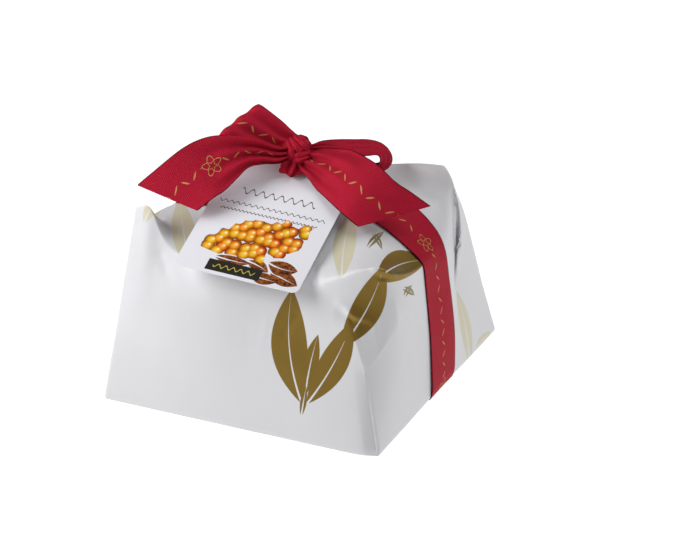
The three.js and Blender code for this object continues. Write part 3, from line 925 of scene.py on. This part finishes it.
def gold_vine(tree, across, along):
    """Small leaves one after another, leaning left and right in turn, with a flower now and then."""
    number, y = repeated(tree, along, LEAF_PITCH)
    odd = node(tree, "ShaderNodeMath", {0: number, 1: 2.0}, operation="FLOORED_MODULO").outputs[0]
    lean = node(tree, "ShaderNodeMapRange", {0: odd, 3: -LEAF_LEAN, 4: LEAF_LEAN}).outputs[0]
    pushed = node(tree, "ShaderNodeMath", {0: y, 1: lean}, operation="MULTIPLY").outputs[0]
    far = node(tree, "ShaderNodeMath", {0: y, 1: LEAF_HALF_LENGTH}, operation="DIVIDE").outputs[0]
    square = node(tree, "ShaderNodeMath", {0: far, 1: far}, operation="MULTIPLY").outputs[0]
    room = node(tree, "ShaderNodeMath", {0: 1.0, 1: square}, operation="SUBTRACT").outputs[0]
    half = node(tree, "ShaderNodeMath", {0: room, 1: LEAF_HALF_WIDTH}, operation="MULTIPLY").outputs[0]
    inside = node(tree, "ShaderNodeMath", {0: half, 1: apart(tree, across, pushed)},
                  operation="SUBTRACT").outputs[0]
    leaf = node(tree, "ShaderNodeMapRange", {0: inside, 1: 0.0, 2: 0.25 * MM}).outputs[0]
    # the flower: two outlines of five petals, with the leaves left out round it
    y = repeated(tree, along, FLOWER_PITCH)[1]
    angle = node(tree, "ShaderNodeMath", {0: y, 1: across}, operation="ARCTAN2").outputs[0]
    place = node(tree, "ShaderNodeCombineXYZ", {0: across, 1: y}).outputs[0]
    radius = node(tree, "ShaderNodeVectorMath", {0: place}, operation="LENGTH").outputs["Value"]
    turns = node(tree, "ShaderNodeMath", {0: angle, 1: 5.0}, operation="MULTIPLY").outputs[0]
    petal = node(tree, "ShaderNodeMath", {0: turns}, operation="COSINE").outputs[0]
    clear = node(tree, "ShaderNodeMapRange", {
        0: radius, 1: FLOWER_ROOM, 2: FLOWER_ROOM + 0.3 * MM}).outputs[0]
    marks = [joined(tree, (leaf, clear), "MULTIPLY")]
    for size, depth in FLOWER_LINES:
        outline = node(tree, "ShaderNodeMath", {0: petal, 1: depth, 2: size},
                       operation="MULTIPLY_ADD").outputs[0]
        marks.append(node(tree, "ShaderNodeMapRange", {
            0: apart(tree, radius, outline), 1: 0.5 * MM, 2: 0.25 * MM}).outputs[0])
    return joined(tree, marks)


# ---------------------------------------------------------------- tag

TAG_SLOPE = math.radians(26.5)
TAG_TWIST = math.radians(4.2)
TAG_SIZE = (101, 117)     # width and length, in millimetres
TAG_CORNER = 5
TAG_CORNER_STEPS = 6
TAG_HOLE = 2.6            # its radius
TAG_HOLE_POINTS = 24
TAG_HOLE_INSET = 9        # from the card's upper edge to the hole's middle


def tag_outline():
    """The card's outline and its hole, as two loops round its middle, in millimetres."""
    half_w, half_l = TAG_SIZE[0] / 2, TAG_SIZE[1] / 2
    outline = []
    for x, y, start in ((1, -1, -90), (1, 1, 0), (-1, 1, 90), (-1, -1, 180)):
        for step in range(TAG_CORNER_STEPS + 1):
            a = math.radians(start + 90 * step / TAG_CORNER_STEPS)
            outline.append((x * (half_w - TAG_CORNER) + TAG_CORNER * math.cos(a),
                            y * (half_l - TAG_CORNER) + TAG_CORNER * math.sin(a)))
    hole = []
    for step in range(TAG_HOLE_POINTS):
        a = 2 * math.pi * step / TAG_HOLE_POINTS
        hole.append((TAG_HOLE * math.cos(a), half_l - TAG_HOLE_INSET + TAG_HOLE * math.sin(a)))
    return outline, hole


def make_tag(settings):
    """The printed card that hangs from the knot, over the front slope. Both its faces are printed."""
    low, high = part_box("tag")
    shape = bmesh.new()
    for loop in tag_outline():
        ring = [shape.verts.new((x * MM, y * MM, 0)) for x, y in loop]
        for a, b in zip(ring, ring[1:] + ring[:1]):
            shape.edges.new((a, b))
    bmesh.ops.triangle_fill(shape, use_beauty=True, use_dissolve=False, edges=shape.edges[:])
    bmesh.ops.recalc_face_normals(shape, faces=shape.faces[:])
    mesh = bpy.data.meshes.new("hanging_tag")
    uv = shape.loops.layers.uv.new("card")
    for face in shape.faces:
        if face.normal.z < 0:
            face.normal_flip()
        for loop in face.loops:
            loop[uv].uv = loop.vert.co.xy
    shape.to_mesh(mesh)
    shape.free()
    piece = add_object("hanging_tag", mesh)
    add_modifier(piece, "SOLIDIFY", thickness=settings.card, offset=0)
    apply_modifiers(piece)
    turn = Euler((TAG_SLOPE, 0, 0)).to_matrix() @ Euler((0, TAG_TWIST, 0)).to_matrix()
    piece.data.transform(Matrix.Translation((low + high) / 2) @ turn.to_4x4())
    finish_piece(piece, printed_card(settings), ["tag"], smooth=False)


BERRY = 7.4 * MM          # how far apart the printed berries are
# The bunch is a few ellipses side by side: middle, half-width and half-height, in millimetres.
BUNCH = (
    ((-34, -28), 11, 9),
    ((-24, -26), 13, 12),
    ((-9, -20), 15, 18),
    ((6, -21), 15, 16),
    ((19, -13), 15, 16),
    ((29, -9), 8, 11),
)
# Raisins under the bunch, as leaf shapes: base, tip, width and bend.
RAISINS = (
    ((18, -37), (43, -39), 14, -2),
    ((23, -45), (48, -52), 13, 0),
    ((10, -52), (32, -53), 11, 0),
    ((-24, -42), (6, -42), 9, -1),
    ((2, -40), (22, -46), 10, 1),
)
# Ornament lines over the bunch: height, half-length, wave height, pitch and half-thickness.
ORNAMENTS = (
    (24.5, 31, 2.6, 8, 0.5),
    (11.5, 44, 1.1, 5, 0.32),
    (4.5, 40, 0.7, 3.2, 0.32),
)
LABEL = ((-4, -50.5), 22, 5.4)        # the label's middle, half-width and half-height
LABEL_LINE = (17, 1.5, 6, 0.4)        # its wavy line: half-length, wave height, pitch, half-thickness
BERRY_SHADES = ((0.0, "F6BE4C"), (0.28, "EFA52C"), (0.45, "D87A14"), (0.6, "A85008"), (0.72, "6E2C06"))
GLINT = (1.0 * MM, 1.2 * MM, 0)       # where the light catches a berry, from its middle


def printed_card(settings):
    """Coated card with an offset print of golden berries and raisins: white, smooth, softly glossy."""
    material, tree, shader = new_material("coated_tag_card")
    place = node(tree, "ShaderNodeUVMap", uv_map="card").outputs[0]
    x, y, _ = node(tree, "ShaderNodeSeparateXYZ", {0: place}).outputs
    berry, berries = golden_berries(tree, place)
    wrinkle = node(tree, "ShaderNodeTexNoise", {
        "Vector": place, "Scale": 260.0, "Detail": 3.0, "Distortion": 1.5}).outputs[0]
    dried = node(tree, "ShaderNodeValToRGB", {0: wrinkle})
    for stop, position, colour in zip(dried.color_ramp.elements, (0.35, 0.68), ("3A140C", "A8602C")):
        stop.position = position
        stop.color = linear(colour)
    (label_x, label_y), half_w, half_h = LABEL
    colour = inked(tree, (*settings.card_colour, 1), (
        (joined(tree, [wavy_line(tree, x, y, *line) for line in ORNAMENTS]), linear("3B2A26")),
        (printed(tree, place, RAISINS), dried.outputs[0]),
        (berry, berries),
        (box_mask(tree, x, y, label_x, label_y, half_w, half_h), linear("2B2924")),
        (wavy_line(tree, x, y, label_y, *LABEL_LINE, label_x), linear("C8B24A"))))
    feed(tree, shader, {"Base Color": colour, "Roughness": 0.14, "IOR": 1.6})
    return material


def golden_berries(tree, place):
    """The bunch's mask and its colours: round berries, each with its own hue and a glint."""
    cells = node(tree, "ShaderNodeTexVoronoi", {"Vector": place, "Scale": 1 / BERRY, "Randomness": 0.7},
                 voronoi_dimensions="2D")
    middle = node(tree, "ShaderNodeVectorMath", {0: cells.outputs["Position"], 1: (1, 1, 0)},
                  operation="MULTIPLY").outputs[0]
    distance = cells.outputs["Distance"]
    round_edge = node(tree, "ShaderNodeMapRange", {0: distance, 1: 0.8, 2: 0.77}).outputs[0]
    body = node(tree, "ShaderNodeValToRGB", {0: distance})
    for position, colour in BERRY_SHADES:
        body.color_ramp.elements.new(position).color = linear(colour)
    body.color_ramp.elements.remove(body.color_ramp.elements[0])
    varied = node(tree, "ShaderNodeSeparateColor", {0: cells.outputs["Color"]}).outputs[0]
    hue = node(tree, "ShaderNodeMapRange", {0: varied, 3: 0.48, 4: 0.53}).outputs[0]
    tinted = node(tree, "ShaderNodeHueSaturation", {"Color": body.outputs[0], "Hue": hue}).outputs[0]
    from_middle = node(tree, "ShaderNodeVectorMath", {0: place, 1: middle}, operation="SUBTRACT").outputs[0]
    to_glint = node(tree, "ShaderNodeVectorMath", {0: from_middle, 1: GLINT}, operation="DISTANCE")
    glint = node(tree, "ShaderNodeMapRange", {
        0: to_glint.outputs["Value"], 1: 1.6 * MM, 2: 0.4 * MM}).outputs[0]
    mask = joined(tree, (bunch_mask(tree, middle), round_edge), "MULTIPLY")
    return mask, inked(tree, tinted, ((glint, linear("FFEFB0")),))


def box_mask(tree, x, y, middle_x, middle_y, half_w, half_h):
    """1 inside a box on the card. Lengths are in millimetres."""
    return joined(tree, [
        node(tree, "ShaderNodeMapRange", {
            0: apart(tree, value, middle * MM), 1: half * MM, 2: (half - 0.25) * MM}).outputs[0]
        for value, middle, half in ((x, middle_x, half_w), (y, middle_y, half_h))], "MULTIPLY")


def wavy_line(tree, x, y, height, half_length, wave, pitch, thick, middle=0):
    """1 on a wavy line across the card. Lengths are in millimetres."""
    line_y = node(tree, "ShaderNodeMath", {0: sine(tree, x, pitch * MM), 1: wave * MM, 2: height * MM},
                  operation="MULTIPLY_ADD").outputs[0]
    near = node(tree, "ShaderNodeMapRange", {
        0: apart(tree, y, line_y), 1: (thick + 0.2) * MM, 2: thick * MM}).outputs[0]
    return joined(tree, (near, box_mask(tree, x, y, middle, height, half_length, wave + 2)), "MULTIPLY")


def bunch_mask(tree, place):
    """1 inside the bunch."""
    insides = []
    for (x, y), half_x, half_y in BUNCH:
        off = node(tree, "ShaderNodeVectorMath", {0: place, 1: (x * MM, y * MM, 0)},
                   operation="SUBTRACT").outputs[0]
        scaled = node(tree, "ShaderNodeVectorMath", {0: off, 1: (half_x * MM, half_y * MM, 1)},
                      operation="DIVIDE").outputs[0]
        far = node(tree, "ShaderNodeVectorMath", {0: scaled}, operation="LENGTH").outputs["Value"]
        insides.append(node(tree, "ShaderNodeMath", {0: far, 1: 1.0}, operation="LESS_THAN").outputs[0])
    return joined(tree, insides)


# ---------------------------------------------------------------- loaf, mould and bag

def baked_crust():
    """Baked panettone crust: matt, browned in patches, finely pitted."""
    material, tree, shader = new_material("baked_crust")
    place = node(tree, "ShaderNodeTexCoord").outputs["Object"]
    patches = node(tree, "ShaderNodeTexNoise", {"Vector": place, "Scale": 18.0, "Detail": 6.0}).outputs[0]
    browned = node(tree, "ShaderNodeValToRGB", {0: patches})
    browned.color_ramp.elements[0].color = linear("4A2410")
    browned.color_ramp.elements[1].color = linear("B8702E")
    # crumb pores are 1 to 3 mm wide
    pores = node(tree, "ShaderNodeTexVoronoi", {"Vector": place, "Scale": 1 / (3 * MM)}).outputs["Distance"]
    bump = node(tree, "ShaderNodeBump", {"Strength": 0.6, "Distance": 0.8 * MM, "Height": pores})
    feed(tree, shader, {"Base Color": browned.outputs[0], "Roughness": 0.75, "Normal": bump.outputs[0]})
    return material


FLUTES = 180              # flutes round the mould


def corrugated_mould():
    """Greaseproof baking paper, corrugated: matt brown with fine upright flutes, the shade of the flutes
    painted into its colour.
    """
    material, tree, shader = new_material("corrugated_baking_paper")
    place = node(tree, "ShaderNodeTexCoord").outputs["Object"]
    x, y, _ = node(tree, "ShaderNodeSeparateXYZ", {0: place}).outputs
    turn = node(tree, "ShaderNodeMath", {0: y, 1: x}, operation="ARCTAN2").outputs[0]
    wave = sine(tree, turn, 2 * math.pi / FLUTES)
    # painted shade: the flutes' valleys are drawn darker and their ridges lighter, on top of their bump
    relief_shade = node(tree, "ShaderNodeMapRange", {0: wave, 1: -1.0, 2: 1.0, 3: 0.75, 4: 1.05}).outputs[0]
    bump = node(tree, "ShaderNodeBump", {"Strength": 0.7, "Distance": 0.6 * MM, "Height": wave})
    colour = node(tree, "ShaderNodeMix", {0: 1.0, 6: linear("7A5230"), 7: relief_shade},
                  data_type="RGBA", blend_type="MULTIPLY").outputs[2]
    feed(tree, shader, {"Base Color": colour, "Roughness": 0.8, "Normal": bump.outputs[0]})
    return material


def clear_film():
    """Cast polypropylene film: clear and glossy, with soft crinkles."""
    material, tree, shader = new_material("clear_film")
    place = node(tree, "ShaderNodeTexCoord").outputs["Object"]
    crinkles = node(tree, "ShaderNodeTexNoise", {"Vector": place, "Scale": 40.0, "Detail": 4.0}).outputs[0]
    bump = node(tree, "ShaderNodeBump", {"Strength": 0.5, "Distance": 1.5 * MM, "Height": crinkles})
    feed(tree, shader, {"Base Color": linear("F6F8F8"), "Roughness": 0.08, "IOR": 1.49,
                        "Transmission Weight": 0.9, "Alpha": 0.35, "Normal": bump.outputs[0]})
    return material


def tie_foil():
    """A paper-backed wire tie with a gold foil face: bright, faintly scuffed."""
    material, tree, shader = new_material("gold_foil_tie")
    place = node(tree, "ShaderNodeTexCoord").outputs["Object"]
    scuffs = node(tree, "ShaderNodeTexNoise", {"Vector": place, "Scale": 900.0, "Detail": 3.0}).outputs[0]
    rough = node(tree, "ShaderNodeMapRange", {0: scuffs, 1: 0.3, 2: 0.7, 3: 0.25, 4: 0.5}).outputs[0]
    feed(tree, shader, {"Base Color": linear("C9A13B"), "Metallic": 1.0, "Roughness": rough})
    return material


INSIDE = (
    (baked_crust, "bread_crust", ("panettone_loaf",)),
    (corrugated_mould, "mould_paper", ("baking_mould_wall", "baking_mould_base")),
    (clear_film, "clear_film", ("inner_bag",)),
    (tie_foil, "tie_wire", ("bag_tie",)),
)


# ---------------------------------------------------------------- stage

CAMERA_PLACE = (0.6136, -1.2475, 0.6815)
CAMERA_AIM = (0.03764, 0.0, 0.07986)
CAMERA_LENS = 99.4        # in millimetres, on a sensor that is 36 mm wide
LAMP_AIM = (0, 0, 0.08)
FLOOR_HALF = 60           # half the floor's side, in metres, so that a low camera sees no edge
FAR = 200                 # how far the camera sees, in metres


def aimed(place, aim):
    """The rotation of a camera or lamp at a place that looks at another."""
    return (Vector(aim) - Vector(place)).to_track_quat("-Z", "Y").to_euler()


def make_camera():
    camera = bpy.data.cameras.new("camera")
    camera.lens = CAMERA_LENS
    camera.sensor_width = 36
    camera.clip_end = FAR
    made = add_object("camera", camera)
    made.location = CAMERA_PLACE
    made.rotation_euler = aimed(CAMERA_PLACE, CAMERA_AIM)
    bpy.context.scene.camera = made


def make_lamp(name, place, size, power):
    """A square soft lamp that looks at the parcel."""
    lamp = bpy.data.lights.new(name, "AREA")
    lamp.shape = "SQUARE"
    lamp.size = size
    lamp.energy = power
    made = add_object(name, lamp)
    made.location = place
    made.rotation_euler = aimed(place, LAMP_AIM)


def make_floor():
    """A plain white sweep, lit a little from itself so that it stays white under the parcel."""
    mesh = bpy.data.meshes.new("floor")
    corners = [(x * FLOOR_HALF, y * FLOOR_HALF, 0) for x, y in ((-1, -1), (1, -1), (1, 1), (-1, 1))]
    mesh.from_pydata(corners, [], [(0, 1, 2, 3)])
    floor = add_object("floor", mesh)
    material, tree, shader = new_material("white_sweep")
    feed(tree, shader, {"Base Color": linear("8A8A8A"), "Roughness": 0.9,
                        "Emission Color": linear("FFFFFF"), "Emission Strength": 0.95})
    mesh.materials.append(material)
    floor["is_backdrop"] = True


def make_sky(strength):
    """Even white light from all round."""
    world = bpy.data.worlds.new("studio")
    world.use_nodes = True
    feed(world.node_tree, world.node_tree.nodes["Background"],
         {"Color": linear("FFFFFF"), "Strength": strength})
    bpy.context.scene.world = world


# ---------------------------------------------------------------- add-on

class PaperSettings(bpy.types.PropertyGroup):
    paper_colour: colour_property("Paper", "Colour of the bare coated paper", "DADADD")
    gold_colour: colour_property("Gold ink", "Colour of the large printed leaves", "8A6E2A")
    pale_colour: colour_property("Pale ink", "Colour of the pale printed leaves", "CFC9AE")
    olive_colour: colour_property("Olive ink", "Colour of the small printed leaves", "7E7448")
    crease_depth: bpy.props.FloatProperty(
        name="Crease depth", description="Depth of the small creases, 1 as they are written",
        default=1.0, min=0, max=3, subtype="FACTOR")
    fineness: bpy.props.IntProperty(
        name="Fineness", description="Subdivisions of the sheet's net", default=4, min=2, max=5)


class RibbonSettings(bpy.types.PropertyGroup):
    width: length_property("Width", "Width of the ribbon", 45)
    thickness: length_property("Thickness", "Thickness of the ribbon", 0.45)
    colour: colour_property("Colour", "Colour of the ribbon", "B22036")
    # colour of the dark band drawn along both edges of the ribbon
    dark_edge_colour: colour_property("Selvedge", "Colour of its woven edges", "4A0A16")
    print_colour: colour_property("Print", "Colour of the printed vine", "BC9257")


class TagSettings(bpy.types.PropertyGroup):
    card: length_property("Card", "Thickness of the card", 0.5)
    card_colour: colour_property("Card", "Colour of the bare card", "E6E6EC")


class StageSettings(bpy.types.PropertyGroup):
    key: power_property("Key", "Power of the lamp at the front left", 7.6)
    top: power_property("Top", "Power of the lamp overhead", 11.5)
    sky: bpy.props.FloatProperty(name="Sky", description="Strength of the even light", default=0.08, min=0)


class PANETTONE_OT_wrapper(bpy.types.Operator):
    """Fold the printed sheet round the loaf"""
    bl_idname = "panettone.wrapper"
    bl_label = "Wrapping Sheet"

    def execute(self, context):
        make_wrapper(context.scene.panettone_paper)
        return {"FINISHED"}


class PANETTONE_OT_band(bpy.types.Operator):
    """Pull the ribbon round the parcel"""
    bl_idname = "panettone.band"
    bl_label = "Ribbon Round Parcel"

    def execute(self, context):
        make_band(context.scene.panettone_ribbon)
        return {"FINISHED"}


class PANETTONE_OT_bow(bpy.types.Operator):
    """Make the bow's loops and tails"""
    bl_idname = "panettone.bow"
    bl_label = "Bow"

    def execute(self, context):
        make_bow(context.scene.panettone_ribbon)
        return {"FINISHED"}


class PANETTONE_OT_knot(bpy.types.Operator):
    """Tie the knot that holds the bow and the tag"""
    bl_idname = "panettone.knot"
    bl_label = "Knot"

    def execute(self, context):
        make_knot(context.scene.panettone_ribbon)
        return {"FINISHED"}


class PANETTONE_OT_tag(bpy.types.Operator):
    """Hang the printed card from the knot"""
    bl_idname = "panettone.tag"
    bl_label = "Tag"

    def execute(self, context):
        make_tag(context.scene.panettone_tag)
        return {"FINISHED"}


class PANETTONE_OT_inside(bpy.types.Operator):
    """Finish the loaf, its mould, its bag and the bag's tie"""
    bl_idname = "panettone.inside"
    bl_label = "Loaf, Mould and Bag"

    def execute(self, context):
        for make_material, slot, names in INSIDE:
            material = make_material()
            for name in names:
                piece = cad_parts[name]
                piece.data.materials.clear()
                piece.data.materials.append(material)
        return {"FINISHED"}


class PANETTONE_OT_stage(bpy.types.Operator):
    """Set the floor, the lamps and the camera"""
    bl_idname = "panettone.stage"
    bl_label = "Stage"

    def execute(self, context):
        settings = context.scene.panettone_stage
        make_floor()
        make_lamp("key", (-0.62, -0.5, 0.6), 0.6, settings.key)
        make_lamp("top", (0.65, 0.3, 1.3), 1.2, settings.top)
        make_sky(settings.sky)
        context.scene.view_settings.view_transform = "Standard"
        make_camera()
        return {"FINISHED"}


class PANETTONE_PT_panel(bpy.types.Panel):
    """Builds the wrapped panettone, piece by piece"""
    bl_label = "Panettone"
    bl_idname = "PANETTONE_PT_panel"
    bl_space_type = "VIEW_3D"
    bl_region_type = "UI"
    bl_category = "Panettone"

    def draw(self, context):
        for operator in OPERATORS:
            self.layout.operator(operator.bl_idname)
        for name, group in SETTINGS.items():
            box = self.layout.box()
            for setting in group.__annotations__:
                box.prop(getattr(context.scene, name), setting)


SETTINGS = {
    "panettone_paper": PaperSettings,
    "panettone_ribbon": RibbonSettings,
    "panettone_tag": TagSettings,
    "panettone_stage": StageSettings,
}
OPERATORS = (
    PANETTONE_OT_wrapper,
    PANETTONE_OT_band,
    PANETTONE_OT_bow,
    PANETTONE_OT_knot,
    PANETTONE_OT_tag,
    PANETTONE_OT_inside,
    PANETTONE_OT_stage,
)


def register():
    for item in (*SETTINGS.values(), *OPERATORS, PANETTONE_PT_panel):
        bpy.utils.register_class(item)
    for name, group in SETTINGS.items():
        setattr(bpy.types.Scene, name, bpy.props.PointerProperty(type=group))


def unregister():
    for name in SETTINGS:
        delattr(bpy.types.Scene, name)
    for item in (PANETTONE_PT_panel, *OPERATORS[::-1], *SETTINGS.values()):
        bpy.utils.unregister_class(item)


def main():
    register()
    bpy.ops.panettone.wrapper()
    bpy.ops.panettone.band()
    bpy.ops.panettone.bow()
    bpy.ops.panettone.knot()
    bpy.ops.panettone.tag()
    bpy.ops.panettone.inside()
    bpy.ops.panettone.stage()
    boxes = {"cad": CAD_BOX, "visual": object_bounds()}
    {name: [list(corner) for corner in box] for name, box in boxes.items()}


if __name__ == "__main__":
    main()
